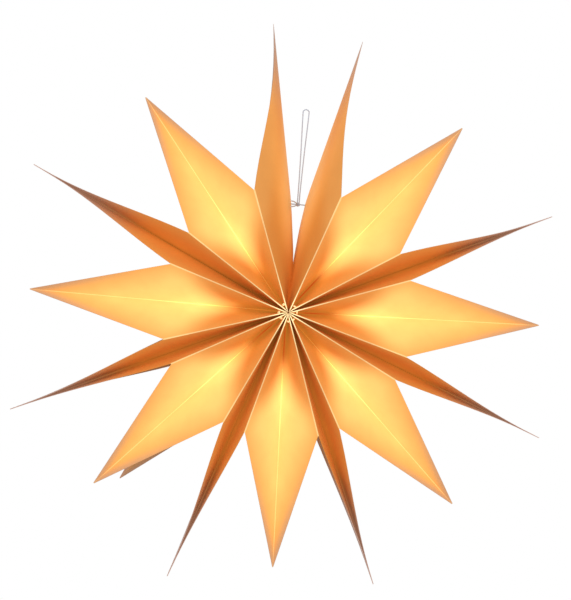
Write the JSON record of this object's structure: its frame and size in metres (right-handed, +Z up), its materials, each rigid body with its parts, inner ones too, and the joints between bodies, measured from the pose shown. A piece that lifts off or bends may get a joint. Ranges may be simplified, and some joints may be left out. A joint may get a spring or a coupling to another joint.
{
  "type": "paper bag star",
  "caption": "Hanging star of gusseted gold paper bags, glued side by side, fanned into a full ring and tied at the top with a string loop.",
  "frame": {"origin": "top of the hanging loop", "axes": "+Z up along the hanging string, -Y out of the star's front, +X to the right seen from the front"},
  "size_m": [0.5526, 0.15, 0.5814],
  "materials": {
    "gold_paper": "smooth gold-tan paper, lighter along the folds",
    "string": "white twisted cotton string"
  },
  "bodies": {
    "root": {"bag_1": "gold_paper", "bag_2": "gold_paper", "bag_3": "gold_paper", "bag_4": "gold_paper", "bag_5": "gold_paper", "bag_6": "gold_paper", "bag_7": "gold_paper", "tie_string": "string", "hanging_loop": "string"}
  },
  "joints": []
}
